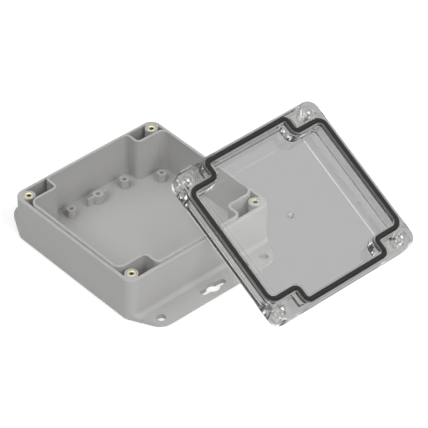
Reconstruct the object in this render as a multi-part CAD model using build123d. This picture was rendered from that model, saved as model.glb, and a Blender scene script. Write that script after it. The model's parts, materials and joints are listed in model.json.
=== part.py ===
from build123d import *
from math import acos, atan2, cos, degrees, hypot, radians, sin
import os

# A moulded junction enclosure with its clear lid taken off. All sizes are in millimetres.
# x runs across the two flanged sides, y along them, z up from the underside of the base.

# Base
base_x = 104.0
base_y = 106.0
base_height = 30.0  # underside to the ledge that the lid closes on
base_floor = 3.2
bottom_round = 1.2
ledge_width = 1.9
ledge_round = 0.9
tongue_width = 1.6  # the tongue enters the lid's groove, and runs on down as the corner walls
tongue_height = 1.8
tongue_round = 0.3
pocket_wall = 2.0

# Corner inserts and the walls that close them off
insert_inset = 6.6
insert_d = 5.6
insert_bore = 3.2
insert_length = 8.0
insert_chamfer = 0.3
insert_boss_d = 7.8
insert_web = 3.0
insert_pilot_depth = 3.0
pocket_reach_x = 6.5  # from an insert's axis to the centre line of the corner wall beside it
pocket_reach_y = 15.8
side_bend = 3.0
inner_bend = 3.0
end_bend = 5.0
least_bend = 0.4

# Mounting flanges
flange_reach = 15.4
flange_thickness = 3.2
flange_fillet = 3.0
flange_round = 10.0  # where a slanting end meets the long side
flange_hole_offset = 9.6  # from the wall to the line of holes
flange_hole_y = 38.8
flange_hole_d = 5.5
keyhole_round_d = 8.0
keyhole_slot_width = 4.2
keyhole_length = 18.5

# Circuit board bosses on the floor
board_boss_d = 5.6
board_middle_d = 6.8  # the boss in the middle of each side, which also carries a rib
board_boss_height = 5.8
board_screw_d = 2.5
board_screw_depth = 5.5
board_side_x = 39.7
board_side_y = 20.2
board_end_x = 29.6
board_end_y = 40.5
board_rib_length = 15.6
board_rib_width = 1.2
board_rib_drop = 0.2
board_root = 1.5  # how deep bosses and ribs start inside the floor

# Clear lid, drawn with its rim at z = 0 and its outer face up
lid_height = 12.0
lid_edge_round = 1.0
lid_roof = 2.0  # over the cavity
lid_cavity_round = 1.0
lid_lip = 1.1
lid_pocket_roof = 3.5  # over the corner hollows
lid_boss_d = 10.0
groove_side_gap = 0.7
groove_depth = 3.6
label_inset = 14.5
label_depth = 0.5
label_round = 3.0
gate_d = 4.4
gate_depth = 0.7
gate_stub_d = 1.8  # what is left of the moulding gate, in the middle of its hollow

# Foam gasket, pressed into the lid's groove
gasket_squeeze = 0.05
gasket_proud = 0.4
gasket_crown = 0.6

# Captive lid screws, each with a thin nylon ring that grips the wall of its well
screw_d = 3.0
screw_length = 10.0
screw_hole_gap = 0.2
screw_tip_chamfer = 0.4
head_d = 5.5
head_height = 2.4
head_round = 0.8
cross_length = 3.4
cross_width = 0.8
cross_depth = 1.3
well_d = 7.0
well_depth = 8.0
ring_wall_gap = 0.1
ring_bore_gap = 0.05
ring_head_gap = 0.05
ring_height = 1.0
ring_round = 0.3
tip_clear = 0.2  # how far a loose screw's tip lies inside the lid's rim

# Resting place of the lid: turned over, one edge on the ground, leaning on the base
lid_tilt = 28.8
lid_shift_y = 56.6
lean_gap = 0.4

overcut = 1.0  # how far a cutting shape runs past the face that it cuts
same_place = 1e-3  # lengths that differ by less count as equal

# Worked out from the sizes above
corner_radius = insert_inset
insert_x = base_x / 2 - insert_inset
insert_y = base_y / 2 - insert_inset
seal_half_x = base_x / 2 - ledge_width - tongue_width / 2
seal_half_y = base_y / 2 - ledge_width - tongue_width / 2
notch_x = insert_x - pocket_reach_x
notch_y = insert_y - pocket_reach_y
flange_hole_x = base_x / 2 + flange_hole_offset
flange_hole_edge = flange_reach - flange_hole_offset
groove_width = tongue_width + 2 * groove_side_gap
lip_offset = groove_width / 2 + lid_lip
lid_cavity_depth = lid_height - lid_roof
lid_pocket_depth = lid_height - lid_pocket_roof
ring_seat_z = lid_height - well_depth
head_seat_z = ring_seat_z + ring_height + ring_head_gap
screw_drop = tip_clear - (head_seat_z - screw_length)

CORNERS = {
    "front_left": (-1, -1),
    "back_left": (-1, 1),
    "front_right": (1, -1),
    "back_right": (1, 1),
}


def prism(sketch, bottom, top):
    """Extrude a sketch between two heights."""
    return extrude(Pos(0, 0, bottom) * sketch, top - bottom)


def rounded_rectangle(inset):
    """The enclosure's outline, moved inwards."""
    return RectangleRounded(base_x - 2 * inset, base_y - 2 * inset, corner_radius - inset)


def seal_outline(grow):
    """The area inside the seal line, notched round each insert, with its edge moved outwards."""
    half_x = seal_half_x + grow
    half_y = seal_half_y + grow
    step_x = notch_x + grow
    step_y = notch_y + grow
    outline = Rectangle(2 * half_x, 2 * step_y) + Rectangle(2 * step_x, 2 * half_y)
    side = [v for v in outline.vertices() if abs(abs(v.X) - half_x) < same_place]
    outline = fillet(side, max(side_bend + grow, least_bend))
    end = [
        v
        for v in outline.vertices()
        if abs(abs(v.Y) - half_y) < same_place and abs(abs(v.X) - step_x) < same_place
    ]
    outline = fillet(end, max(end_bend + grow, least_bend))
    inner = [
        v
        for v in outline.vertices()
        if abs(abs(v.X) - step_x) < same_place and abs(abs(v.Y) - step_y) < same_place
    ]
    return fillet(inner, max(inner_bend - grow, least_bend))


def seal_band(width):
    """A band of constant width along the seal line."""
    return seal_outline(width / 2) - seal_outline(-width / 2)


def at_corners(sketch):
    """Copies of a sketch on the four insert axes."""
    return [Pos(sx * insert_x, sy * insert_y) * sketch for sx, sy in CORNERS.values()]


def corner_webs(diameter):
    """Round bosses on the insert axes, each carried on into its corner of the wall."""
    web = Pos(insert_web / 2, 0) * SlotCenterToCenter(insert_web, diameter)
    return [
        Pos(sx * insert_x, sy * insert_y) * Rot(0, 0, degrees(atan2(sy, sx))) * web
        for sx, sy in CORNERS.values()
    ]


def corner_pockets(offset_from_seal, boss_diameter):
    """The four hollows between the outer wall, the seal's wall and the insert bosses."""
    hollow = rounded_rectangle(pocket_wall) - seal_outline(offset_from_seal)
    return hollow - corner_webs(boss_diameter)


def flange_slope():
    """Where the flange's slanting end meets its long side and the base's end wall.

    The slant touches the circle of a base corner, and lies as far from a flange hole as the long side
    does. Its normal's direction follows from the two centres and distances.
    """
    run_x = flange_hole_x - insert_x
    run_y = flange_hole_y - insert_y
    normal = atan2(run_y, run_x) + acos((corner_radius - flange_hole_edge) / hypot(run_x, run_y))
    distance = cos(normal) * insert_x + sin(normal) * insert_y + corner_radius
    side_x = base_x / 2 + flange_reach
    end_y = base_y / 2
    side_y = (distance - cos(normal) * side_x) / sin(normal)
    end_x = (distance - sin(normal) * end_y) / cos(normal)
    return (side_x, side_y), (end_x, end_y)


def flange_outline():
    """The base's footprint with both flanges and their slanting ends."""
    (side_x, side_y), (end_x, end_y) = flange_slope()
    right = [(side_x, -side_y), (side_x, side_y), (end_x, end_y)]
    left = [(-x, -y) for x, y in right]
    outline = make_face(Polyline(*right, (-end_x, end_y), *left, (end_x, -end_y), close=True))
    side = [v for v in outline.vertices() if abs(abs(v.X) - side_x) < same_place]
    outline = fillet(side, flange_round)
    end = [v for v in outline.vertices() if abs(abs(v.Y) - end_y) < same_place]
    return fillet(end, corner_radius)


def keyhole():
    """A slot along y with a round opening in its middle."""
    slot = Rot(0, 0, 90) * SlotOverall(keyhole_length, keyhole_slot_width)
    return slot + Circle(keyhole_round_d / 2)


def flange_cuts():
    """Two round holes and a keyhole in each flange."""
    cuts = [
        Pos(sx * flange_hole_x, sy * flange_hole_y) * Circle(flange_hole_d / 2) for sx, sy in CORNERS.values()
    ]
    cuts += [Pos(sx * flange_hole_x, 0) * keyhole() for sx in (-1, 1)]
    return prism(Sketch() + cuts, -overcut, flange_thickness + overcut)


def housing_blank():
    """Outer block and flanges, with the wide fillet between wall and flange."""
    block = extrude(rounded_rectangle(0), base_height)
    block = fillet(block.faces().sort_by(Axis.Z)[-1].edges(), ledge_round)
    skirt = flange_reach + corner_radius
    sheet = RectangleRounded(base_x + 2 * skirt, base_y + 2 * skirt, corner_radius + skirt)
    blank = block + extrude(sheet, flange_thickness)
    junction = [
        e
        for e in blank.edges()
        if abs(e.center().Z - flange_thickness) < same_place
        and abs(e.center().X) < base_x / 2 + same_place
        and abs(e.center().Y) < base_y / 2 + same_place
    ]
    blank = fillet(junction, flange_fillet)
    fillet_top = flange_thickness + flange_fillet
    foot = extrude(flange_outline(), fillet_top)
    foot = fillet(foot.faces().sort_by(Axis.Z)[0].edges(), bottom_round)
    return (blank & foot) + (blank & prism(sheet, fillet_top, base_height + overcut))


def board_bosses():
    """Screw bosses for circuit boards: three along each flanged side and two at each end."""
    middles = [(sx * board_side_x, 0) for sx in (-1, 1)]
    others = [(sx * board_side_x, sy * board_side_y) for sx, sy in CORNERS.values()]
    others += [(sx * board_end_x, sy * board_end_y) for sx, sy in CORNERS.values()]
    root = base_floor - board_root
    top = base_floor + board_boss_height
    discs = [Pos(x, y) * Circle(board_boss_d / 2) for x, y in others]
    discs += [Pos(x, y) * Circle(board_middle_d / 2) for x, y in middles]
    ribs = [Pos(x, y) * Rectangle(board_rib_width, board_rib_length) for x, y in middles]
    bosses = prism(Sketch() + discs, root, top) + prism(Sketch() + ribs, root, top - board_rib_drop)
    holes = Sketch() + [Pos(x, y) * Circle(board_screw_d / 2) for x, y in middles + others]
    return bosses - prism(holes, top - board_screw_depth, top + overcut)


def insert_cuts():
    """Seats for the brass inserts, with room below for the screws' tips."""
    seat_bottom = base_height - insert_length
    seats = prism(Sketch() + at_corners(Circle(insert_d / 2)), seat_bottom, base_height + overcut)
    pilots = Sketch() + at_corners(Circle(insert_bore / 2))
    return seats + prism(pilots, seat_bottom - insert_pilot_depth, seat_bottom)


def enclosure_base():
    """The moulded base, open at the top."""
    body = housing_blank()
    tongue = prism(seal_band(tongue_width), base_height - tongue_height, base_height + tongue_height)
    tongue = fillet(tongue.faces().sort_by(Axis.Z)[-1].edges(), tongue_round)
    body += tongue
    body -= prism(seal_outline(-tongue_width / 2), base_floor, base_height + tongue_height + overcut)
    body -= prism(corner_pockets(tongue_width / 2, insert_boss_d), base_floor, base_height)
    body += board_bosses()
    body -= insert_cuts()
    return body - flange_cuts()


def brass_insert(sx, sy):
    """A bored brass bush, flush with the ledge."""
    bush = Cylinder(insert_d / 2, insert_length, align=(Align.CENTER, Align.CENTER, Align.MAX))
    bush = chamfer(bush.faces().sort_by(Axis.Z)[-1].edges(), insert_chamfer)
    bush -= Cylinder(insert_bore / 2, 2 * (insert_length + overcut))
    return Pos(sx * insert_x, sy * insert_y, base_height) * bush


def lid_cover():
    """The clear lid: groove, cavity, corner hollows, screw wells and label recess."""
    cover = extrude(rounded_rectangle(0), lid_height)
    cover = fillet(cover.faces().sort_by(Axis.Z)[-1].edges(), lid_edge_round)
    cavity = extrude(seal_outline(-lip_offset), lid_cavity_depth)
    cover -= fillet(cavity.faces().sort_by(Axis.Z)[-1].edges(), lid_cavity_round)
    cover -= extrude(seal_band(groove_width), groove_depth)
    cover -= extrude(corner_pockets(lip_offset, lid_boss_d), lid_pocket_depth)
    cover -= prism(Sketch() + at_corners(Circle(well_d / 2)), ring_seat_z, lid_height + overcut)
    cover -= prism(Sketch() + at_corners(Circle(screw_d / 2 + screw_hole_gap)), -overcut, ring_seat_z)
    label = RectangleRounded(base_x - 2 * label_inset, base_y - 2 * label_inset, label_round)
    cover -= prism(label, lid_height - label_depth, lid_height + overcut)
    gate = Circle(gate_d / 2) - Circle(gate_stub_d / 2)
    return cover - prism(gate, lid_cavity_depth - overcut, lid_cavity_depth + gate_depth)


def lid_gasket():
    """The foam gasket in the lid's groove, a little proud of the rim, with a crowned face."""
    band = prism(seal_band(groove_width + 2 * gasket_squeeze), -gasket_proud, groove_depth + gasket_squeeze)
    return fillet(band.faces().sort_by(Axis.Z)[0].edges(), gasket_crown)


def lid_screw(sx, sy):
    """A cross-head screw, hanging outwards in its well as far as its tip allows."""
    head = Cylinder(head_d / 2, head_height, align=(Align.CENTER, Align.CENTER, Align.MIN))
    head = fillet(head.faces().sort_by(Axis.Z)[-1].edges(), head_round)
    for turn in (0, 90):
        head -= Pos(0, 0, head_height) * Rot(0, 0, turn) * Box(cross_length, cross_width, 2 * cross_depth)
    shank = Cylinder(screw_d / 2, screw_length, align=(Align.CENTER, Align.CENTER, Align.MAX))
    shank = chamfer(shank.faces().sort_by(Axis.Z)[0].edges(), screw_tip_chamfer)
    return Pos(sx * insert_x, sy * insert_y, head_seat_z + screw_drop) * (head + shank)


def screw_ring(sx, sy):
    """The nylon ring under a screw's head, which moves with the screw."""
    ring = Cylinder(well_d / 2 - ring_wall_gap, ring_height, align=(Align.CENTER, Align.CENTER, Align.MIN))
    ring = fillet(ring.edges().filter_by(GeomType.CIRCLE), ring_round)
    ring -= Cylinder(screw_d / 2 + ring_bore_gap, 2 * (ring_height + overcut))
    return Pos(sx * insert_x, sy * insert_y, ring_seat_z + screw_drop) * ring


def leaning_lid():
    """Where the lid's rim centre lies, turned over and leaning on the tongue's outer edge."""
    down = sin(radians(lid_tilt))
    flat = cos(radians(lid_tilt))
    edge_x = base_x / 2 - ledge_width - tongue_round
    edge_z = base_height + tongue_height - tongue_round
    reach = edge_x * down + edge_z * flat + tongue_round + lean_gap
    outer_z = lid_edge_round * (1 - flat) + (base_x / 2 - lid_edge_round) * down
    outer_x = (reach - outer_z * flat) / down
    rim = Pos(outer_x + lid_height * down, lid_shift_y, outer_z + lid_height * flat)
    return rim * Rot(0, 180 + lid_tilt, 0)


def main():
    """Build every piece in its place and write one file for each."""
    pose = leaning_lid()
    pieces = {"enclosure_base": enclosure_base()}
    for name, (sx, sy) in CORNERS.items():
        pieces[f"brass_insert_{name}"] = brass_insert(sx, sy)
    pieces["lid_cover"] = pose * lid_cover()
    pieces["lid_gasket"] = pose * lid_gasket()
    for name, (sx, sy) in CORNERS.items():
        pieces[f"lid_screw_{name}"] = pose * lid_screw(sx, sy)
        pieces[f"screw_ring_{name}"] = pose * screw_ring(sx, sy)
    os.makedirs("parts", exist_ok=True)
    for name, shape in pieces.items():
        export_step(shape, f"parts/{name}.step")


main()
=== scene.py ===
"""A moulded junction enclosure with its clear lid taken off, dressed for a plain studio photograph."""

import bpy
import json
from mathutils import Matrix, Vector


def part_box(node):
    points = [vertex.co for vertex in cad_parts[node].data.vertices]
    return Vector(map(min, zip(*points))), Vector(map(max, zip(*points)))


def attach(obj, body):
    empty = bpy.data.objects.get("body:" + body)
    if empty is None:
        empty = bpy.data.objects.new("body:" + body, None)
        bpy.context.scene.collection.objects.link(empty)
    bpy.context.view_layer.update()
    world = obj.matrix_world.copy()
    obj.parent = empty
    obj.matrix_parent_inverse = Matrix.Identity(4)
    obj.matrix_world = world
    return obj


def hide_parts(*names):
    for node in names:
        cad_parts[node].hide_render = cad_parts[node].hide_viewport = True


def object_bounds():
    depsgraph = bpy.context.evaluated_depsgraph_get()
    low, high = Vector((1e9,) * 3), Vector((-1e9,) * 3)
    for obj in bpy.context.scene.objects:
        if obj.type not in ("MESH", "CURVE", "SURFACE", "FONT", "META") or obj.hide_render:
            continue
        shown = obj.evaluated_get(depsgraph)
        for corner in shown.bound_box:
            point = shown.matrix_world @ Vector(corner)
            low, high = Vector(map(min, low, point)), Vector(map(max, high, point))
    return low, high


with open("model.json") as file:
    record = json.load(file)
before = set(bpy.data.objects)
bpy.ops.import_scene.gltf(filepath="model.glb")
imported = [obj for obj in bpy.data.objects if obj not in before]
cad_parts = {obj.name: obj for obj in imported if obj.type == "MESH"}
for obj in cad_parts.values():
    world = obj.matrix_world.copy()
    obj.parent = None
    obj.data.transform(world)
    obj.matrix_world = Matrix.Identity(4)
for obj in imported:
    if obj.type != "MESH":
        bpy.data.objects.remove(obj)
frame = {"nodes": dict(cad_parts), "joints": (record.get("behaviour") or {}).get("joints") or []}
cad_box = [list(corner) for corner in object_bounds()]

import json
import logging
from dataclasses import dataclass, field
from enum import Enum
from math import cos, pi, radians, sin, tau

import bmesh
import bpy
import numpy as np
from mathutils import Vector

log = logging.getLogger("enclosure")

MM = 0.001
MERGE_DISTANCE = 0.0005 * MM
SHORTEST = 1e-20  # keeps a length that is divided by away from nought

# Facets whose normals and offsets round to the same steps lie in one plane
PLANE_SLACK = 0.004
PLANE_STEP = 0.02 * MM

# Edges sharper than this, in degrees, stay sharp on copies of moulded solids and on new pieces
MOULDED_CREASE = 28.0
TURNED_CREASE = 35.0

# The metal paints shade by this attribute, darker the deeper a point lies.
HOLLOW = "hollow"  # the attribute that says how far a point lies inside a bore or recess
THREAD_SLOPE = 2.5  # how steep a thread's flanks are, as crest heights in a pitch

GASKET_NODE = "lid_gasket"
GASKET_PROUD = 0.4 * MM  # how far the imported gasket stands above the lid's rim

# Where the noise behind the marks of handling starts and stops to show
SMUDGE_RANGE = (0.48, 0.68)
SPECK_RANGE = (0.72, 0.80)


class Corner(Enum):
    """The four screw corners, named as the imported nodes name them."""

    FRONT_LEFT = "front_left"
    BACK_LEFT = "back_left"
    FRONT_RIGHT = "front_right"
    BACK_RIGHT = "back_right"


class Shading(Enum):
    """How a piece's faces meet under light."""

    SMOOTH = "smooth"
    CREASED = "creased"


# Meshes


def node_points(name: str) -> np.ndarray:
    """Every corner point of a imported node, one row each, in metres.

    Args:
        name: The node's name.

    Returns:
        An array of shape (corners, 3).
    """
    mesh = frame["nodes"][name].data
    flat = np.empty(3 * len(mesh.vertices), np.float32)
    mesh.vertices.foreach_get("co", flat)
    return flat.reshape(-1, 3).astype(float)


def screw_axis(corner: Corner) -> tuple[np.ndarray, np.ndarray]:
    """Where a screw turns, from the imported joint.

    Args:
        corner: The screw's corner.

    Returns:
        The joint's place, and the unit direction from the screw's tip to its head.
    """
    name = f"screw_turn_{corner.value}"
    joint = next(joint for joint in frame["joints"] if joint["name"] == name)
    outward = -np.array(joint["axis"], float)
    return np.array(joint["pos_m"], float), outward / np.linalg.norm(outward)


def grid_object(name: str, points: np.ndarray, capped: bool, shading: Shading) -> bpy.types.Object:
    """A surface from a grid of points that closes on itself across its columns.

    Face (i, j) joins rows i and i + 1 between columns j and j + 1, and the last column joins the first.
    The rows close on themselves too, or each end row is closed by a fan to its mean point. The UV map
    holds the column as a share of a turn and the row as a share of the whole profile.

    Args:
        name: The new object's name.
        points: Corner points, of shape (rows, columns, 3), in metres.
        capped: True to close both end rows by fans, False to join the last row to the first.
        shading: Smooth all over, or with creases kept sharp.

    Returns:
        The object, linked to the scene at the origin.
    """
    rows, columns, _ = points.shape
    span = rows - 1 if capped else rows
    i, j = np.meshgrid(np.arange(span), np.arange(columns), indexing="ij")
    low, high = i * columns, (i + 1) % rows * columns
    near, far = j, (j + 1) % columns
    quads = np.stack([low + near, low + far, high + far, high + near], -1).reshape(-1, 4)
    quad_uv = np.stack(
        [
            np.stack([j, j + 1, j + 1, j], -1) / columns,
            np.stack([i, i, i + 1, i + 1], -1) / span,
        ],
        -1,
    )
    corners = points.reshape(-1, 3)
    faces = quads.tolist()
    uv = quad_uv.reshape(-1, 2)
    if capped:
        poles = np.stack([points[0].mean(0), points[-1].mean(0)])
        first = len(corners)
        corners = np.concatenate([corners, poles])
        ring = np.arange(columns)
        beyond = (ring + 1) % columns
        top = (rows - 1) * columns
        faces += np.stack([beyond, ring, np.full(columns, first)], -1).tolist()
        faces += np.stack([top + ring, top + beyond, np.full(columns, first + 1)], -1).tolist()
        across = np.stack([ring + 1, ring, ring + 0.5], -1) / columns
        uv = np.concatenate(
            [
                uv,
                np.stack([across, np.zeros_like(across)], -1).reshape(-1, 2),
                np.stack([across[:, [1, 0, 2]], np.ones_like(across)], -1).reshape(-1, 2),
            ]
        )
    mesh = bpy.data.meshes.new(name)
    mesh.from_pydata(corners.tolist(), [], faces)
    layer = mesh.uv_layers.new(name="UVMap")
    layer.data.foreach_set("uv", uv.astype(np.float32).ravel())
    mesh.shade_smooth()
    if shading is Shading.CREASED:
        mesh.set_sharp_from_angle(angle=radians(TURNED_CREASE))
    piece = bpy.data.objects.new(name, mesh)
    bpy.context.scene.collection.objects.link(piece)
    return piece


def mark_hollow(piece: bpy.types.Object, share: np.ndarray) -> None:
    """Write how far each point lies inside a bore or recess, from 0 to 1, for the material to paint shade
    there.
    """
    layer = piece.data.attributes.new(HOLLOW, "FLOAT", "POINT")
    values = np.zeros(len(piece.data.vertices), np.float32)
    values[: share.size] = share.ravel()
    layer.data.foreach_set("value", values)


def dress(piece: bpy.types.Object, material: bpy.types.Material) -> None:
    """Give a new piece its material, and report it."""
    piece.data.materials.clear()
    piece.data.materials.append(material)
    log.info("%s: %d faces", piece.name, len(piece.data.polygons))


def even_normals(corners: np.ndarray, facets: np.ndarray, crease: float) -> np.ndarray:
    """A normal for every corner of every facet, such that flat faces stay flat and curved ones are smooth.

    The normal is the mean of the facets that meet at the corner within the crease angle, each weighted by
    the whole area that lies in its plane. A large flat face so keeps its own normal up to its edge.

    Args:
        corners: The mesh's corner points, of shape (corners, 3).
        facets: The three corner numbers of each triangle, of shape (facets, 3).
        crease: The widest angle, in radians, between facets that are shaded as one surface.

    Returns:
        An array of shape (3 * facets, 3).
    """
    a, b, c = (corners[facets[:, k]] for k in range(3))
    across = np.cross(b - a, c - a)
    size = np.linalg.norm(across, axis=1)
    normal = across / np.maximum(size, SHORTEST)[:, None]
    offset = np.einsum("ij,ij->i", normal, a)
    plane = np.column_stack([np.round(normal / PLANE_SLACK), np.round(offset / PLANE_STEP)])
    _, which = np.unique(plane, axis=0, return_inverse=True)
    weight = np.bincount(which.ravel(), size)[which.ravel()]
    at = facets.ravel()
    order = np.argsort(at, kind="stable")
    count = np.bincount(at, minlength=len(corners))
    start = np.concatenate([[0], np.cumsum(count)[:-1]])
    fellows = count[at]
    own = np.repeat(np.arange(len(at)), fellows)
    step = np.arange(len(own)) - np.repeat(np.cumsum(fellows) - fellows, fellows)
    other = order[start[at[own]] + step]
    here, there = normal[own // 3], normal[other // 3]
    near = np.einsum("ij,ij->i", here, there) > cos(crease)
    share = there * (near * weight[other // 3])[:, None]
    total = np.stack([np.bincount(own, share[:, k], len(at)) for k in range(3)], -1)
    length = np.linalg.norm(total, axis=1)
    flat = np.repeat(normal, 3, axis=0)
    return np.where(length[:, None] > 0, total / np.maximum(length, SHORTEST)[:, None], flat)


def smooth_copy(name: str, node: str) -> bpy.types.Object:
    """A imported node's own shape again, with its facets joined so that curved faces shade smoothly.

    Args:
        name: The new object's name.
        node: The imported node.

    Returns:
        The copy, linked to the scene.
    """
    joined = bmesh.new()
    joined.from_mesh(frame["nodes"][node].data)
    bmesh.ops.remove_doubles(joined, verts=joined.verts, dist=MERGE_DISTANCE)
    bmesh.ops.triangulate(joined, faces=joined.faces)
    mesh = bpy.data.meshes.new(name)
    joined.to_mesh(mesh)
    joined.free()
    corners = np.empty(3 * len(mesh.vertices), np.float32)
    mesh.vertices.foreach_get("co", corners)
    facets = np.empty(len(mesh.loops), np.int32)
    mesh.loops.foreach_get("vertex_index", facets)
    mesh.shade_smooth()
    crease = radians(MOULDED_CREASE)
    normals = even_normals(corners.reshape(-1, 3).astype(float), facets.reshape(-1, 3), crease)
    mesh.normals_split_custom_set(normals.tolist())
    piece = bpy.data.objects.new(name, mesh)
    bpy.context.scene.collection.objects.link(piece)
    return piece


@dataclass(frozen=True)
class TurningAxis:
    """A straight axis with a zero point, about which turned pieces are drawn."""

    origin: np.ndarray
    along: np.ndarray

    def place(self, radius: np.ndarray, turn: np.ndarray, height: np.ndarray) -> np.ndarray:
        """Points round the axis: zero point + height * axis + radius * (cos * side + sin * front).

        Args:
            radius: Distance from the axis, in metres.
            turn: Angle about the axis, in radians.
            height: Distance along the axis, in metres.

        Returns:
            An array with a last dimension of 3.
        """
        side = np.cross(self.along, (0.0, 1.0, 0.0))
        if np.linalg.norm(side) < 0.1:
            side = np.cross(self.along, (1.0, 0.0, 0.0))
        side = side / np.linalg.norm(side)
        front = np.cross(self.along, side)
        radius, turn, height = np.broadcast_arrays(radius, turn, height)
        return (
            self.origin
            + height[..., None] * self.along
            + (radius * np.cos(turn))[..., None] * side
            + (radius * np.sin(turn))[..., None] * front
        )


def thread_wave(turn: np.ndarray, height: np.ndarray, pitch: float) -> np.ndarray:
    """A screw thread's section, from 0 at its root to 1 at its crest.

    The phase is the turn as a share of a full turn plus the height in pitches, and the section is a
    triangle wave of that phase with its crest cut flat.
    """
    phase = (turn / tau + height / pitch) % 1.0
    return np.clip(THREAD_SLOPE * (0.5 - np.abs(phase - 0.5)), 0.0, 1.0)


def stations(*corners: tuple[float, float], step: float) -> np.ndarray:
    """Points along a straight-sided profile, with every corner kept and no gap wider than a step.

    Args:
        corners: The profile's corners as (radius, height).
        step: The widest gap, in the same unit.

    Returns:
        An array of shape (points, 2).
    """
    runs = []
    for start, end in zip(corners[:-1], corners[1:]):
        length = np.hypot(end[0] - start[0], end[1] - start[1])
        count = max(int(np.ceil(length / step)), 1)
        share = np.arange(count)[:, None] / count
        runs.append(np.array(start) + share * (np.array(end) - np.array(start)))
    runs.append(np.array([corners[-1]], float))
    return np.concatenate(runs)


# Shader helpers


class Shader:
    """A material's node tree, with short calls to add and join its nodes."""

    def __init__(self, name: str) -> None:
        """Start an empty material whose only node is its output."""
        self.material = bpy.data.materials.new(name)
        self.material.use_nodes = True
        self.tree = self.material.node_tree
        self.tree.nodes.clear()
        self.output = self.tree.nodes.new("ShaderNodeOutputMaterial")

    def node(self, kind: str, **settings: object) -> bpy.types.Node:
        """Add a node of a kind, with settings by name."""
        return add_node(self.tree, kind, **settings)

    def join(self, source: bpy.types.NodeSocket, target: bpy.types.NodeSocket) -> None:
        """Link one socket to another."""
        self.tree.links.new(source, target)

    def principled(self, **values: object) -> bpy.types.Node:
        """Add the main shader and set its own sockets, where _ in a name stands for a space."""
        shader = self.node("ShaderNodeBsdfPrincipled")
        for name, value in values.items():
            shader.inputs[name.replace("_", " ")].default_value = value
        self.join(shader.outputs["BSDF"], self.output.inputs["Surface"])
        return shader

    def place(self, which: str = "Object") -> bpy.types.NodeSocket:
        """The texture coordinate of that name."""
        return self.node("ShaderNodeTexCoord").outputs[which]

    def group(self, tree: bpy.types.NodeTree, **values: float) -> bpy.types.Node:
        """Place a shared node group with its own values."""
        placed = self.node("ShaderNodeGroup")
        placed.node_tree = tree
        for name, value in values.items():
            placed.inputs[name.replace("_", " ")].default_value = value
        return placed

    def between(
        self, mask: bpy.types.NodeSocket, low: tuple[float, ...], high: tuple[float, ...]
    ) -> bpy.types.NodeSocket:
        """A colour that runs from low to high with a mask."""
        blend = self.node("ShaderNodeMix", data_type="RGBA")
        blend.inputs[6].default_value = (*low, 1.0)
        blend.inputs[7].default_value = (*high, 1.0)
        self.join(mask, blend.inputs[0])
        return blend.outputs[2]

    def spread(self, mask: bpy.types.NodeSocket, low: float, high: float) -> bpy.types.NodeSocket:
        """A number that runs from low to high with a mask."""
        spread = self.node("ShaderNodeMapRange")
        spread.inputs["To Min"].default_value = low
        spread.inputs["To Max"].default_value = high
        self.join(mask, spread.inputs["Value"])
        return spread.outputs["Result"]

    def relief(
        self, height: bpy.types.NodeSocket, distance: float, strength: float
    ) -> bpy.types.NodeSocket:
        """A normal from a height, where distance is the height's full range in metres."""
        bump = self.node("ShaderNodeBump")
        bump.inputs["Distance"].default_value = distance
        bump.inputs["Strength"].default_value = strength
        self.join(height, bump.inputs["Height"])
        return bump.outputs["Normal"]


def add_node(tree: bpy.types.NodeTree, kind: str, **settings: object) -> bpy.types.Node:
    """Add a node to a tree, with settings by name."""
    node = tree.nodes.new(kind)
    for name, value in settings.items():
        setattr(node, name, value)
    return node


def rise(
    tree: bpy.types.NodeTree,
    value: bpy.types.NodeSocket,
    over: tuple[float, float],
    between: tuple[float, float] = (0.0, 1.0),
) -> bpy.types.NodeSocket:
    """A number that rises smoothly between two levels while a value goes over a range.

    Args:
        tree: The tree that gets the node.
        value: The value.
        over: The range's start and end.
        between: The levels before and after it.

    Returns:
        The number.
    """
    ramp = add_node(tree, "ShaderNodeMapRange", interpolation_type="SMOOTHSTEP")
    for label, number in zip(("From Min", "From Max", "To Min", "To Max"), (*over, *between)):
        ramp.inputs[label].default_value = number
    tree.links.new(value, ramp.inputs["Value"])
    return ramp.outputs["Result"]


def choose(
    tree: bpy.types.NodeTree,
    mask: bpy.types.NodeSocket,
    low: float | bpy.types.NodeSocket,
    high: float | bpy.types.NodeSocket,
) -> bpy.types.NodeSocket:
    """One number where a mask is 0 and another where it is 1, each written or linked.

    Args:
        tree: The tree that gets the node.
        mask: The mask.
        low: The first number.
        high: The second number.

    Returns:
        The chosen number.
    """
    choice = add_node(tree, "ShaderNodeMix", data_type="FLOAT")
    tree.links.new(mask, choice.inputs[0])
    for socket, value in ((choice.inputs[2], low), (choice.inputs[3], high)):
        if isinstance(value, float):
            socket.default_value = value
        else:
            tree.links.new(value, socket)
    return choice.outputs[0]


def new_group(
    name: str, inputs: dict[str, tuple[str, float]], outputs: dict[str, str]
) -> tuple[bpy.types.NodeTree, bpy.types.Node, bpy.types.Node]:
    """Start a shared node group.

    Args:
        name: The group's name.
        inputs: For each input, its socket type and its usual value.
        outputs: For each output, its socket type.

    Returns:
        The group's tree, and the nodes that stand for its inputs and its outputs.
    """
    tree = bpy.data.node_groups.new(name, "ShaderNodeTree")
    for label, (kind, value) in inputs.items():
        socket = tree.interface.new_socket(label, in_out="INPUT", socket_type=kind)
        if kind == "NodeSocketFloat":
            socket.default_value = value
    for label, kind in outputs.items():
        tree.interface.new_socket(label, in_out="OUTPUT", socket_type=kind)
    entry = tree.nodes.new("NodeGroupInput")
    result = tree.nodes.new("NodeGroupOutput")
    return tree, entry, result


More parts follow.
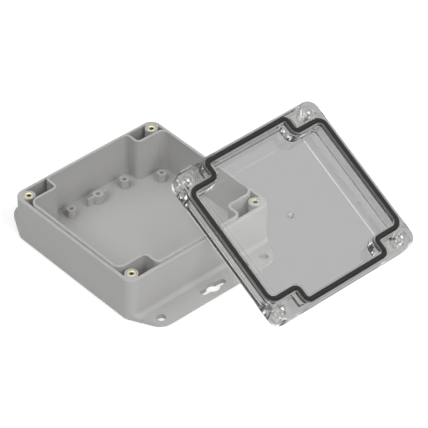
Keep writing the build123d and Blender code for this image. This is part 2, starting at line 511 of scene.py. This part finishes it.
def noise_in(
    tree: bpy.types.NodeTree, where: bpy.types.NodeSocket, size: bpy.types.NodeSocket, detail: float
) -> bpy.types.NodeSocket:
    """Noise whose lumps are about one size, in metres, across.

    Args:
        tree: The tree that gets the nodes.
        where: The coordinate that the noise reads.
        size: A socket that gives the lumps' size.
        detail: How many finer octaves are added.

    Returns:
        The noise as a number from 0 to 1.
    """
    scale = add_node(tree, "ShaderNodeMath", operation="DIVIDE")
    scale.inputs[0].default_value = 1.0
    tree.links.new(size, scale.inputs[1])
    noise = add_node(tree, "ShaderNodeTexNoise")
    noise.inputs["Detail"].default_value = detail
    tree.links.new(where, noise.inputs["Vector"])
    tree.links.new(scale.outputs[0], noise.inputs["Scale"])
    return noise.outputs["Fac"]


def grain_group() -> bpy.types.NodeTree:
    """The texture that a spark-eroded mould leaves: a fine grain over a slow unevenness."""
    tree, entry, result = new_group(
        "mould_grain",
        {
            "Vector": ("NodeSocketVector", 0.0),
            "Grain Size": ("NodeSocketFloat", 0.4 * MM),
            "Patch Size": ("NodeSocketFloat", 18 * MM),
        },
        {"Height": "NodeSocketFloat", "Patches": "NodeSocketFloat"},
    )
    fine = noise_in(tree, entry.outputs["Vector"], entry.outputs["Grain Size"], 3.0)
    slow = noise_in(tree, entry.outputs["Vector"], entry.outputs["Patch Size"], 2.0)
    tree.links.new(fine, result.inputs["Height"])
    tree.links.new(slow, result.inputs["Patches"])
    return tree


def handling_group() -> bpy.types.NodeTree:
    """Faint marks of handling: smudges that cover a part of the surface, and fine dust specks."""
    tree, entry, result = new_group(
        "handling_marks",
        {
            "Vector": ("NodeSocketVector", 0.0),
            "Smudge Size": ("NodeSocketFloat", 14 * MM),
            "Speck Size": ("NodeSocketFloat", 0.5 * MM),
        },
        {"Smudge": "NodeSocketFloat", "Speck": "NodeSocketFloat"},
    )
    cloud = noise_in(tree, entry.outputs["Vector"], entry.outputs["Smudge Size"], 4.0)
    dots = noise_in(tree, entry.outputs["Vector"], entry.outputs["Speck Size"], 1.0)
    tree.links.new(rise(tree, cloud, SMUDGE_RANGE), result.inputs["Smudge"])
    tree.links.new(rise(tree, dots, SPECK_RANGE), result.inputs["Speck"])
    return tree


# Finishes


@dataclass(frozen=True)
class MouldedPlastic:
    """Light grey plastic from a textured mould."""

    colour: tuple[float, float, float] = (0.455, 0.452, 0.440)
    pale_colour: tuple[float, float, float] = (0.485, 0.482, 0.470)
    smooth_roughness: float = 0.42
    dull_roughness: float = 0.56
    index: float = 1.46
    grain_size: float = 0.35 * MM
    patch_size: float = 22 * MM
    grain_depth: float = 0.012 * MM
    grain_strength: float = 0.6
    smudge_size: float = 30 * MM
    speck_size: float = 0.6 * MM

    def make(self, grain: bpy.types.NodeTree, handling: bpy.types.NodeTree) -> bpy.types.Material:
        """Build the material from the two shared groups."""
        shader = Shader("moulded_plastic")
        place = shader.place()
        texture = shader.group(grain, Grain_Size=self.grain_size, Patch_Size=self.patch_size)
        marks = shader.group(handling, Smudge_Size=self.smudge_size, Speck_Size=self.speck_size)
        shader.join(place, texture.inputs["Vector"])
        shader.join(place, marks.inputs["Vector"])
        surface = shader.principled(IOR=self.index)
        tint = shader.between(texture.outputs["Patches"], self.colour, self.pale_colour)
        shader.join(tint, surface.inputs["Base Color"])
        gloss = shader.spread(marks.outputs["Smudge"], self.dull_roughness, self.smooth_roughness)
        shader.join(gloss, surface.inputs["Roughness"])
        normal = shader.relief(texture.outputs["Height"], self.grain_depth, self.grain_strength)
        shader.join(normal, surface.inputs["Normal"])
        return shader.material


@dataclass(frozen=True)
class ClearPlastic:
    """Clear or milky moulded plastic, slightly wavy from its mould, that casts no shadow."""

    name: str = "clear_plastic"
    colour: tuple[float, float, float] = (0.955, 0.965, 0.955)
    index: float = 1.585
    roughness: float = 0.015
    wave_size: float = 9 * MM
    wave_depth: float = 0.01 * MM
    clearness: float = 0.985
    wave_strength: float = 0.5

    def make(self, grain: bpy.types.NodeTree) -> bpy.types.Material:
        """Build the material. A ray towards a lamp passes it as it passes air."""
        shader = Shader(self.name)
        surface = shader.principled(
            Base_Color=(*self.colour, 1.0),
            IOR=self.index,
            Roughness=self.roughness,
            Transmission_Weight=self.clearness,
        )
        texture = shader.group(grain, Grain_Size=self.wave_size, Patch_Size=4 * self.wave_size)
        shader.join(shader.place(), texture.inputs["Vector"])
        normal = shader.relief(texture.outputs["Height"], self.wave_depth, self.wave_strength)
        shader.join(normal, surface.inputs["Normal"])
        open_way = shader.node("ShaderNodeBsdfTransparent")
        path = shader.node("ShaderNodeLightPath")
        either = shader.node("ShaderNodeMixShader")
        shader.join(path.outputs["Is Shadow Ray"], either.inputs[0])
        shader.join(surface.outputs["BSDF"], either.inputs[1])
        shader.join(open_way.outputs["BSDF"], either.inputs[2])
        shader.join(either.outputs["Shader"], shader.output.inputs["Surface"])
        return shader.material


@dataclass(frozen=True)
class FoamRubber:
    """Dark closed-cell foam with its pores open at the skin."""

    colour: tuple[float, float, float] = (0.012, 0.012, 0.011)
    pore_colour: tuple[float, float, float] = (0.034, 0.034, 0.031)
    index: float = 1.4
    pore_size: float = 0.30 * MM
    patch_size: float = 8 * MM
    pore_depth: float = 0.05 * MM
    pore_strength: float = 0.8
    low_roughness: float = 0.72
    roughness: float = 0.82

    def make(self, grain: bpy.types.NodeTree) -> bpy.types.Material:
        """Build the material from the shared grain."""
        shader = Shader("foam_rubber")
        texture = shader.group(grain, Grain_Size=self.pore_size, Patch_Size=self.patch_size)
        shader.join(shader.place(), texture.inputs["Vector"])
        surface = shader.principled(IOR=self.index)
        tint = shader.between(texture.outputs["Height"], self.colour, self.pore_colour)
        shader.join(tint, surface.inputs["Base Color"])
        dullness = shader.spread(texture.outputs["Patches"], self.low_roughness, self.roughness)
        shader.join(dullness, surface.inputs["Roughness"])
        normal = shader.relief(texture.outputs["Height"], self.pore_depth, self.pore_strength)
        shader.join(normal, surface.inputs["Normal"])
        return shader.material


@dataclass(frozen=True)
class TurnedMetal:
    """Metal off a lathe, with fine tool marks that run round the piece, and painted shade deep in its bores
    and recesses.
    """

    name: str
    colour: tuple[float, float, float]
    dull_colour: tuple[float, float, float]
    roughness: float
    hollow_shade_colour: tuple[float, float, float]
    marks_along: float = 260.0
    marks_round: float = 1.5
    mark_depth: float = 0.004 * MM
    mark_strength: float = 0.5
    smudge_size: float = 3 * MM
    speck_size: float = 0.3 * MM
    smudge_roughness: float = 0.15

    def make(self, handling: bpy.types.NodeTree) -> bpy.types.Material:
        """Build the material on the piece's own UV map, whose u runs round and v along the profile."""
        shader = Shader(self.name)
        stretch = shader.node("ShaderNodeMapping")
        stretch.inputs["Scale"].default_value = (self.marks_round, self.marks_along, 1.0)
        shader.join(shader.place("UV"), stretch.inputs["Vector"])
        lines = shader.node("ShaderNodeTexNoise")
        lines.inputs["Scale"].default_value = 1.0
        shader.join(stretch.outputs["Vector"], lines.inputs["Vector"])
        marks = shader.group(handling, Smudge_Size=self.smudge_size, Speck_Size=self.speck_size)
        shader.join(shader.place(), marks.inputs["Vector"])
        surface = shader.principled(Metallic=1.0)
        tint = shader.between(marks.outputs["Smudge"], self.colour, self.dull_colour)
        # Painted shade: the colour darkens towards the hollow shade colour where a point lies deep in a bore
        # or recess.
        hollow = shader.node("ShaderNodeAttribute", attribute_name=HOLLOW)
        painted_hollow_shade = shader.node("ShaderNodeMix", data_type="RGBA")
        painted_hollow_shade.inputs[7].default_value = (*self.hollow_shade_colour, 1.0)
        shader.join(hollow.outputs["Fac"], painted_hollow_shade.inputs[0])
        shader.join(tint, painted_hollow_shade.inputs[6])
        shader.join(painted_hollow_shade.outputs[2], surface.inputs["Base Color"])
        dullest = self.roughness + self.smudge_roughness
        dullness = shader.spread(marks.outputs["Smudge"], self.roughness, dullest)
        shader.join(dullness, surface.inputs["Roughness"])
        normal = shader.relief(lines.outputs["Fac"], self.mark_depth, self.mark_strength)
        shader.join(normal, surface.inputs["Normal"])
        return shader.material


# The last colour of each metal is the painted shade deep in its bores and recesses.
BRASS = TurnedMetal("turned_brass", (0.72, 0.68, 0.50), (0.64, 0.59, 0.41), 0.50, (0.10, 0.09, 0.06))
STEEL = TurnedMetal("stainless_steel", (0.74, 0.74, 0.74), (0.60, 0.60, 0.61), 0.20, (0.16, 0.16, 0.16))
NYLON = ClearPlastic("natural_nylon", (0.93, 0.925, 0.90), 1.53, 0.35, 3 * MM, 0.02 * MM)


# Pieces


@dataclass
class MouldedBase:
    """The moulded base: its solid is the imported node, smoothed where it curves."""

    node: str = "enclosure_base"

    def build(self, plastic: bpy.types.Material) -> None:
        """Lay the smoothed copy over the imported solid."""
        piece = smooth_copy("moulded_base", self.node)
        dress(piece, plastic)
        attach(piece, "base")
        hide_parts(self.node)


@dataclass
class ThreadedInsert:
    """A knurled brass bush with a tapped bore."""

    corner: Corner
    bore_radius: float = 1.5 * MM
    thread_depth: float = 0.27 * MM
    pitch: float = 0.5 * MM
    mouth_width: float = 0.35 * MM
    rim_chamfer: float = 0.3 * MM
    knurl_depth: float = 0.12 * MM
    knurl_count: int = 28
    columns: int = 112

    def build(self, brass: bpy.types.Material) -> None:
        """Carry the bush's section round its axis: outer wall, top face, tapped bore, bottom face.

        The radius at a point is the section's radius, less the knurl's ridges on the outer wall, and less
        the thread's height in the bore.
        """
        node = f"brass_insert_{self.corner.value}"
        low, high = (np.array(corner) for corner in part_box(node))
        radius = (high[0] - low[0]) / 2
        length = high[2] - low[2]
        bore = self.bore_radius
        section = stations(
            (radius, 0.0),
            (radius, length - self.rim_chamfer),
            (radius - self.rim_chamfer, length),
            (bore + self.mouth_width, length),
            (bore, length - self.mouth_width),
            (bore, 0.0),
            (radius - self.rim_chamfer, 0.0),
            step=self.pitch / 5,
        )
        turn = np.arange(self.columns) * tau / self.columns
        ring, height = section[:, :1], section[:, 1:]
        knurled = np.isclose(ring, radius) & (height > self.pitch) & (height < length - 2 * self.pitch)
        tapped = np.isclose(ring, bore)
        ridges = self.knurl_depth * np.abs(np.sin(turn * self.knurl_count / 2))
        thread = self.thread_depth * thread_wave(turn, height, self.pitch)
        radii = ring - knurled * ridges - tapped * thread
        axis = TurningAxis(np.array([*(low[:2] + high[:2]) / 2, low[2]]), np.array([0.0, 0.0, 1.0]))
        points = axis.place(radii, turn, np.broadcast_to(height, radii.shape))
        piece = grid_object(f"threaded_insert_{self.corner.value}", points, False, Shading.CREASED)
        # Painted shade inside the tapped bore, below its mouth.
        mark_hollow(piece, np.broadcast_to(tapped & (height < length - self.mouth_width), radii.shape))
        dress(piece, brass)
        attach(piece, "base")
        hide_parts(node)


@dataclass
class CaptiveScrew:
    """A cross-head screw with a rolled thread."""

    corner: Corner
    head_height: float = 2.4 * MM
    head_radius: float = 2.75 * MM
    head_round: float = 0.8 * MM
    shank_radius: float = 1.5 * MM
    thread_depth: float = 0.27 * MM
    pitch: float = 0.5 * MM
    plain_length: float = 1.0 * MM
    tip_chamfer: float = 0.4 * MM
    cross_width: float = 0.8 * MM
    cross_length: float = 3.4 * MM
    cross_depth: float = 1.3 * MM
    side_slope: float = 0.25
    end_slope: float = 0.3
    middle_hole: float = 0.05 * MM
    round_steps: int = 7
    columns: int = 96

    def axis(self) -> tuple[TurningAxis, float]:
        """The screw's axis, pointing from its tip to its head, and the screw's whole length."""
        pivot, outward = screw_axis(self.corner)
        reach = (node_points(f"lid_screw_{self.corner.value}") - pivot) @ outward
        return TurningAxis(pivot + reach.min() * outward, outward), reach.max() - reach.min()

    def recess(self, radii: np.ndarray, turn: np.ndarray) -> np.ndarray:
        """How deep the cross recess lies at each place on the head's top face.

        The recess is two slots at right angles. Its depth falls off over the slots' sloping sides, by
        the distance to the nearer slot's middle line, and towards their ends.
        """
        east, north = np.abs(radii * np.cos(turn)), np.abs(radii * np.sin(turn))
        beside, beyond = np.minimum(east, north), np.maximum(east, north)
        half_width = self.cross_width / 2 * (1 + self.side_slope)
        side = np.clip((half_width - beside) / (self.side_slope * self.cross_width), 0.0, 1.0)
        end = np.clip((self.cross_length / 2 - beyond) / (self.end_slope * self.cross_length), 0.0, 1.0)
        return self.cross_depth * side * end

    def build(self, steel: bpy.types.Material) -> None:
        """Carry the screw's section round its axis from the middle of the head's top to the tip.

        The top face sinks by the recess, and the shank's radius is its full radius less the thread's
        depth between the crests.
        """
        axis, length = self.axis()
        round_turn = np.linspace(0, pi / 2, self.round_steps)[1:-1]
        shoulder = self.head_radius - self.head_round
        seat = length - self.head_height
        corner_points = [
            (shoulder + self.head_round * sin(a), length - self.head_round * (1 - cos(a))) for a in round_turn
        ]
        section = stations(
            (self.middle_hole, length),
            (shoulder, length),
            *corner_points,
            (self.head_radius, length - self.head_round),
            (self.head_radius, seat),
            (self.shank_radius, seat),
            (self.shank_radius, self.tip_chamfer),
            (self.shank_radius - self.tip_chamfer, 0.0),
            step=self.pitch / 5,
        )
        turn = np.arange(self.columns) * tau / self.columns
        ring, height = section[:, :1], section[:, 1:]
        threaded = (ring <= self.shank_radius) & (height < seat - self.plain_length)
        on_top = np.isclose(height, length)
        groove = self.thread_depth * (1 - thread_wave(turn, height, self.pitch))
        radii = ring - threaded * groove
        sunk = height - on_top * self.recess(ring, turn)
        points = axis.place(radii, turn, np.broadcast_to(sunk, radii.shape))
        piece = grid_object(f"captive_screw_{self.corner.value}", points[::-1], True, Shading.CREASED)
        # Painted shade in the cross recess, darker where it is deeper.
        mark_hollow(piece, ((height - sunk) / self.cross_depth)[::-1])
        dress(piece, steel)
        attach(piece, f"screw_{self.corner.value}")
        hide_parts(f"lid_screw_{self.corner.value}")


@dataclass
class GripRing:
    """The thin nylon ring under a screw's head, with a rounded rim and a lip that grips the thread."""

    corner: Corner
    rim_round: float = 0.3 * MM
    rim_steps: int = 6
    bore_radius: float = 1.55 * MM
    columns: int = 64

    def build(self, nylon: bpy.types.Material) -> None:
        """Carry the ring's section round the screw's axis: bore, upper face, rounded rim, lower face.

        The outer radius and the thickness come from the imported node. The rim's corners are quarter circles.
        """
        node = f"screw_ring_{self.corner.value}"
        pivot, outward = screw_axis(self.corner)
        corners = node_points(node) - pivot
        along = corners @ outward
        outer = np.linalg.norm(corners - along[:, None] * outward, axis=1).max()
        thick = along.max() - along.min()
        bend = np.linspace(0, pi / 2, self.rim_steps)
        inset = outer - self.rim_round
        lower = [(inset + self.rim_round * sin(a), self.rim_round * (1 - cos(a))) for a in bend]
        upper = [(ring, thick - height) for ring, height in reversed(lower)]
        profile = [(self.bore_radius, thick), (self.bore_radius, 0.0), *lower, *upper]
        section = stations(*profile, step=self.rim_round)
        turn = np.arange(self.columns) * tau / self.columns
        axis = TurningAxis(pivot + along.min() * outward, outward)
        points = axis.place(section[:, :1], turn, section[:, 1:])
        piece = grid_object(f"grip_ring_{self.corner.value}", points, False, Shading.CREASED)
        dress(piece, nylon)
        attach(piece, f"ring_{self.corner.value}")
        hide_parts(node)


@dataclass(frozen=True)
class LidFrame:
    """The lid's own axes, as they lie in the shared frame, from the middle of its rim."""

    centre: np.ndarray
    across: np.ndarray
    along: np.ndarray
    inward: np.ndarray

    @staticmethod
    def found() -> "LidFrame":
        """Work the axes out from the four screw joints, and the rim's height from the gasket's crest.

        Returns:
            The axes, with inward pointing from the lid's outer face to its open side.
        """
        pivots = {corner: screw_axis(corner)[0] for corner in Corner}
        inward = -screw_axis(Corner.FRONT_LEFT)[1]
        across = pivots[Corner.FRONT_RIGHT] - pivots[Corner.FRONT_LEFT]
        along = pivots[Corner.BACK_LEFT] - pivots[Corner.FRONT_LEFT]
        across /= np.linalg.norm(across)
        along /= np.linalg.norm(along)
        middle = sum(pivots.values()) / len(pivots)
        crest = (node_points(GASKET_NODE) @ inward).max()
        centre = middle + (crest - GASKET_PROUD - middle @ inward) * inward
        return LidFrame(centre, across, along, inward)

    def place(self, x: np.ndarray, y: np.ndarray, z: np.ndarray) -> np.ndarray:
        """Points at x across, y along and z inward from the rim's centre."""
        x, y, z = (part[..., None] for part in np.broadcast_arrays(x, y, z))
        return self.centre + x * self.across + y * self.along + z * self.inward


@dataclass
class FoamGasket:
    """The foam bead in the lid's groove, which stands proud of the rim with a round crown."""

    node: str = GASKET_NODE
    half_x: float = 49.3 * MM
    half_y: float = 50.3 * MM
    step_x: float = 38.9 * MM
    step_y: float = 30.6 * MM
    side_bend: float = 3.0 * MM
    end_bend: float = 5.0 * MM
    inner_bend: float = 3.0 * MM
    half_width: float = 1.55 * MM
    crown_half_width: float = 1.12 * MM
    crest: float = 1.3 * MM
    shoulder: float = 0.2 * MM
    neck: float = -0.7 * MM
    foot: float = -2.4 * MM
    root: float = -3.5 * MM
    bend_points: int = 10
    crown_points: int = 15
    foot_points: int = 11
    gap: float = 1.5 * MM

    def path(self) -> tuple[np.ndarray, np.ndarray]:
        """The seal line round the lid, as points and the directions that lie square to it, outwards.

        It is a rectangle with a step at each corner. Each corner of the line is a quarter circle, whose
        points are centre + bend * (cos, sin) of evenly spaced angles, and the straight runs between are
        divided evenly.
        """
        quarter = np.linspace(0, pi / 2, self.bend_points)
        arcs = (
            (self.half_x - self.side_bend, self.step_y - self.side_bend, self.side_bend, quarter),
            (self.step_x + self.inner_bend, self.step_y + self.inner_bend, -self.inner_bend, quarter[::-1]),
            (self.step_x - self.end_bend, self.half_y - self.end_bend, self.end_bend, quarter),
        )
        corner = np.concatenate([np.stack([x + r * np.cos(a), y + r * np.sin(a)], -1) for x, y, r, a in arcs])
        square = np.concatenate([np.stack([np.cos(a), np.sin(a)], -1) for _, _, _, a in arcs])
        flips = ((1, 1, 1), (-1, 1, -1), (-1, -1, 1), (1, -1, -1))
        line = np.concatenate([(corner * (sx, sy))[::order] for sx, sy, order in flips])
        normal = np.concatenate([(square * (sx, sy))[::order] for sx, sy, order in flips])
        after, normal_after = np.roll(line, -1, 0), np.roll(normal, -1, 0)
        count = np.maximum(np.ceil(np.linalg.norm(after - line, axis=1) / self.gap).astype(int), 1)
        which = np.repeat(np.arange(len(line)), count)
        step = np.arange(len(which)) - np.repeat(np.cumsum(count) - count, count)
        share = (step / count[which])[:, None]
        points = line[which] + share * (after - line)[which]
        square_to = normal[which] + share * (normal_after - normal)[which]
        return points, square_to / np.linalg.norm(square_to, axis=1)[:, None]

    def section(self) -> tuple[np.ndarray, np.ndarray]:
        """The bead's section as offsets from the seal line and heights above the rim.

        The foot is half an ellipse below the straight sides, which fill the groove. Above the neck the bead
        draws in to its crown, half an ellipse whose offset is its half width * cos, and whose height is
        shoulder + (crest - shoulder) * sin, of angles from 0 to a half turn.
        """
        turn = np.linspace(0, pi, self.crown_points)
        lower = np.linspace(pi, tau, self.foot_points)[1:-1]
        offset = np.concatenate(
            [
                (self.half_width, self.half_width),
                self.crown_half_width * np.cos(turn),
                (-self.half_width, -self.half_width),
                self.half_width * np.cos(lower),
            ]
        )
        height = np.concatenate(
            [
                (self.foot, self.neck),
                self.shoulder + (self.crest - self.shoulder) * np.sin(turn),
                (self.neck, self.foot),
                self.foot + (self.foot - self.root) * np.sin(lower),
            ]
        )
        return offset[:, None], height[:, None]

    def build(self, foam: bpy.types.Material) -> None:
        """Carry the section along the seal line: point + offset * square direction, at the height."""
        points, square = self.path()
        offset, height = self.section()
        x = points[:, 0] + offset * square[:, 0]
        y = points[:, 1] + offset * square[:, 1]
        piece = grid_object("foam_gasket", LidFrame.found().place(x, y, height), False, Shading.CREASED)
        dress(piece, foam)
        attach(piece, "lid")
        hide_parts(self.node)


@dataclass
class GateStub:
    """What is left of the moulding gate in the middle of the lid's roof, a small rough dome."""

    roof_depth: float = 10.0 * MM
    radius: float = 1.7 * MM
    height: float = 1.5 * MM
    sunk: float = 0.05 * MM
    roughness: float = 0.12
    slow_waves: int = 3
    fast_waves: int = 7
    fast_share: float = 0.6
    closed: float = 0.94
    rows: int = 12
    columns: int = 40

    def build(self, clear: bpy.types.Material) -> None:
        """Shape the dome: radius * root of cos and height * sin of the row's angle, with a torn, uneven rim.

        The unevenness is a sum of two sines of the turn, as a share of the radius.
        """
        angle = np.linspace(0, self.closed * pi / 2, self.rows)[:, None]
        turn = np.arange(self.columns) * tau / self.columns
        waves = np.sin(self.slow_waves * turn) + self.fast_share * np.sin(self.fast_waves * turn + 1)
        uneven = 1 + self.roughness * waves / 2
        radii = self.radius * np.sqrt(np.cos(angle)) * uneven
        height = self.height * np.sin(angle) * (2 - uneven) - self.roof_depth - self.sunk
        points = LidFrame.found().place(radii * np.cos(turn), radii * np.sin(turn), height)
        piece = grid_object("gate_stub", points, True, Shading.SMOOTH)
        dress(piece, clear)
        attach(piece, "lid")


@dataclass
class ClearLid:
    """The clear lid's cover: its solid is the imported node, smoothed where it curves."""

    node: str = "lid_cover"

    def build(self, clear: bpy.types.Material) -> None:
        """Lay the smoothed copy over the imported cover."""
        piece = smooth_copy("clear_cover", self.node)
        dress(piece, clear)
        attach(piece, "lid")
        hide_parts(self.node)


# Studio


@dataclass(frozen=True)
class PhotoCamera:
    """The camera that took the photograph, as it was found from the enclosure's own corners."""

    azimuth: float = 48.4
    elevation: float = 40.19
    distance: float = 1.796
    aim: tuple[float, float, float] = (0.03025, 0.0286, 0.0215)
    sensor_width: float = 36.0
    focal_length: float = 263.2
    clip_start: float = 0.05

    def build(self) -> None:
        """Place the camera along its line of sight, level with the horizon."""
        a, e = radians(self.azimuth), radians(self.elevation)
        back = Vector((sin(a) * cos(e), -cos(a) * cos(e), sin(e)))
        lens = bpy.data.cameras.new("photo_camera")
        lens.sensor_width = self.sensor_width
        lens.lens = self.focal_length
        lens.clip_start = self.clip_start
        camera = bpy.data.objects.new("photo_camera", lens)
        camera.location = Vector(self.aim) + self.distance * back
        camera.rotation_euler = (-back).to_track_quat("-Z", "Y").to_euler()
        bpy.context.scene.collection.objects.link(camera)
        bpy.context.scene.camera = camera


def unlit_ray(tree: bpy.types.NodeTree, path: bpy.types.Node, kind: str) -> bpy.types.NodeSocket:
    """Whether a ray is of a kind and hasn't left a dull surface, so that it carries a view and no light.

    Args:
        tree: The tree that gets the nodes.
        path: Its Light Path node.
        kind: The name of the Light Path output.

    Returns:
        1 or 0.
    """
    before = add_node(tree, "ShaderNodeMath", operation="LESS_THAN")
    before.inputs[1].default_value = 0.5  # the depth is a whole number
    tree.links.new(path.outputs["Diffuse Depth"], before.inputs[0])
    both = add_node(tree, "ShaderNodeMath", operation="MULTIPLY")
    tree.links.new(path.outputs[kind], both.inputs[0])
    tree.links.new(before.outputs[0], both.inputs[1])
    return both.outputs[0]


@dataclass(frozen=True)
class Lamp:
    """A square soft lamp that looks at the middle of the set."""

    name: str
    place: tuple[float, float, float]
    size: float
    watts: float

    def build(self, target: Vector) -> None:
        """Hang the lamp and turn it to the target."""
        light = bpy.data.lights.new(self.name, "AREA")
        light.size = self.size
        light.energy = self.watts
        lamp = bpy.data.objects.new(self.name, light)
        lamp.location = self.place
        lamp.rotation_euler = (target - Vector(self.place)).to_track_quat("-Z", "Y").to_euler()
        lamp.visible_transmission = False
        bpy.context.scene.collection.objects.link(lamp)


@dataclass(frozen=True)
class Studio:
    """A pale floor, an even sky and soft lamps."""

    floor_half: float = 1.4
    floor_drop: float = 0.02 * MM
    floor_colour: float = 0.88
    floor_lift: float = 0.36
    fade: tuple[float, float] = (0.22, 0.60)
    seen_through: float = 0.41
    sky: float = 0.048
    mirrored: float = 0.60
    dark_rim: float = 0.016
    bright_top: float = 1.28
    ceiling_from: tuple[float, float] = (0.34, 0.46)
    lamps: tuple[Lamp, ...] = field(
        default=(
            Lamp("front_lamp", (0.0, -1.3, 1.8), 1.4, 21.3),
            Lamp("side_lamp", (1.9, 0.0, 0.9), 1.2, 14.6),
            Lamp("high_side_lamp", (1.3, 0.2, 1.8), 1.4, 15.0),
            Lamp("far_side_lamp", (-1.3, -0.2, 1.8), 1.4, 10.0),
            Lamp("back_lamp", (-0.6, 1.2, 1.8), 1.4, 4.1),
        )
    )

    def floor(self) -> None:
        """A flat sheet that the camera sees as white, and as a grey through plastic and in reflections.

        Far from the object it fades into the white behind it, so that no edge shows in low views.
        """
        half = self.floor_half
        across = np.linspace(-half, half, 3)
        x, y = np.meshgrid(across, across, indexing="ij")
        points = np.stack([x, y, np.full_like(x, -self.floor_drop)], -1).reshape(-1, 3)
        faces = [[3 * i + j, 3 * i + j + 3, 3 * i + j + 4, 3 * i + j + 1] for i in (0, 1) for j in (0, 1)]
        mesh = bpy.data.meshes.new("studio_floor")
        mesh.from_pydata(points.tolist(), [], faces)
        sheet = bpy.data.objects.new("studio_floor", mesh)
        bpy.context.scene.collection.objects.link(sheet)
        shader = Shader("studio_floor")
        path = shader.node("ShaderNodeLightPath")
        paint = shader.node("ShaderNodeBsdfDiffuse")
        paint.inputs["Color"].default_value = (self.floor_colour,) * 3 + (1.0,)
        glow = shader.node("ShaderNodeEmission")
        reach = shader.node("ShaderNodeVectorMath", operation="LENGTH")
        shader.join(shader.place(), reach.inputs[0])
        lift = rise(shader.tree, reach.outputs["Value"], self.fade, (self.floor_lift, 1.0))
        shader.join(lift, glow.inputs["Strength"])
        lit = shader.node("ShaderNodeAddShader")
        shader.join(paint.outputs["BSDF"], lit.inputs[0])
        shader.join(glow.outputs["Emission"], lit.inputs[1])
        direct = shader.node("ShaderNodeMixShader")
        shader.join(path.outputs["Is Camera Ray"], direct.inputs[0])
        shader.join(paint.outputs["BSDF"], direct.inputs[1])
        shader.join(lit.outputs["Shader"], direct.inputs[2])
        grey = shader.node("ShaderNodeEmission")
        level = choose(shader.tree, path.outputs["Is Transmission Ray"], self.mirrored, self.seen_through)
        shader.join(level, grey.inputs["Strength"])
        plastic = shader.node("ShaderNodeMath", operation="MAXIMUM")
        shader.join(unlit_ray(shader.tree, path, "Is Transmission Ray"), plastic.inputs[0])
        shader.join(unlit_ray(shader.tree, path, "Is Glossy Ray"), plastic.inputs[1])
        whole = shader.node("ShaderNodeMixShader")
        shader.join(plastic.outputs[0], whole.inputs[0])
        shader.join(direct.outputs["Shader"], whole.inputs[1])
        shader.join(grey.outputs["Emission"], whole.inputs[2])
        shader.join(whole.outputs["Shader"], shader.output.inputs["Surface"])
        mesh.materials.append(shader.material)

    def backdrop(self) -> None:
        """The sky: even and weak for light, white for the camera, and a lit ceiling seen through plastic.

        Through plastic its brightness rises smoothly with the height that a ray points to, from a dark rim
        all round to a bright top, which gives moulded edges their dark and light lines.
        """
        world = bpy.data.worlds.new("studio_sky")
        bpy.context.scene.world = world
        world.use_nodes = True
        tree = world.node_tree
        tree.nodes.clear()
        output = add_node(tree, "ShaderNodeOutputWorld")
        path = add_node(tree, "ShaderNodeLightPath")
        glow = add_node(tree, "ShaderNodeBackground")
        glow.inputs["Color"].default_value = (1.0,) * 4
        way = add_node(tree, "ShaderNodeSeparateXYZ")
        tree.links.new(add_node(tree, "ShaderNodeTexCoord").outputs["Generated"], way.inputs[0])
        ceiling = rise(tree, way.outputs["Z"], self.ceiling_from, (self.dark_rim, self.bright_top))
        level = self.sky
        kinds = {"Is Glossy Ray": self.mirrored, "Is Camera Ray": 1.0, "Is Transmission Ray": ceiling}
        for kind, value in kinds.items():
            level = choose(tree, unlit_ray(tree, path, kind), level, value)
        tree.links.new(level, glow.inputs["Strength"])
        tree.links.new(glow.outputs["Background"], output.inputs["Surface"])

    def build(self) -> None:
        """Lay the floor, set the sky and hang the lamps."""
        self.floor()
        self.backdrop()
        target = (Vector(cad_box[0]) + Vector(cad_box[1])) / 2
        for lamp in self.lamps:
            lamp.build(target)


def main() -> None:
    """Dress every piece, then set up the studio and the camera."""
    logging.basicConfig(level=logging.INFO, format="%(name)s: %(message)s")
    grain = grain_group()
    handling = handling_group()
    brass = BRASS.make(handling)
    steel = STEEL.make(handling)
    nylon = NYLON.make(grain)
    MouldedBase().build(MouldedPlastic().make(grain, handling))
    clear = ClearPlastic().make(grain)
    ClearLid().build(clear)
    GateStub().build(clear)
    FoamGasket().build(FoamRubber().make(grain))
    for corner in Corner:
        ThreadedInsert(corner).build(brass)
        CaptiveScrew(corner).build(steel)
        GripRing(corner).build(nylon)
    Studio().build()
    PhotoCamera().build()
    scene = bpy.context.scene
    scene.view_settings.view_transform = "Standard"


if __name__ == "__main__":
    main()
